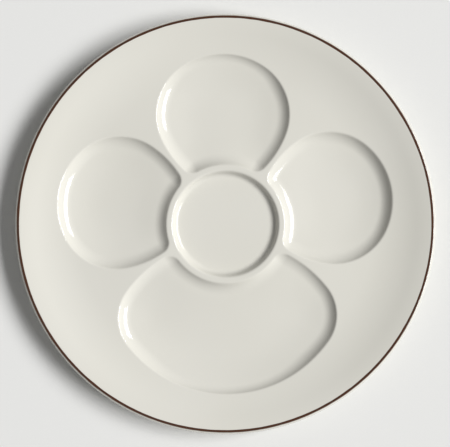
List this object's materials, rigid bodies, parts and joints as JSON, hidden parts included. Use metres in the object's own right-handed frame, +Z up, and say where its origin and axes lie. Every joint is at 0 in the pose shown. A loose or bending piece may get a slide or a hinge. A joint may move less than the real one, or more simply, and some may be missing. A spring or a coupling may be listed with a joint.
{
  "type": "fondue plate",
  "caption": "Round glazed plate with a low turned-up rim, petal-shaped sauce wells around a round centre well, and a long oval well for meat or bread.",
  "frame": {"origin": "centre of the foot ring's face, on the table, on the plate's axis", "axes": "+Z up along the plate's axis, -Y towards the long oval well, +X to the right of someone who has the oval well in front of them"},
  "size_m": [0.26, 0.26, 0.0172],
  "materials": {
    "porcelain": "glossy"
  },
  "bodies": {
    "root": {"plate": "porcelain"}
  },
  "joints": []
}
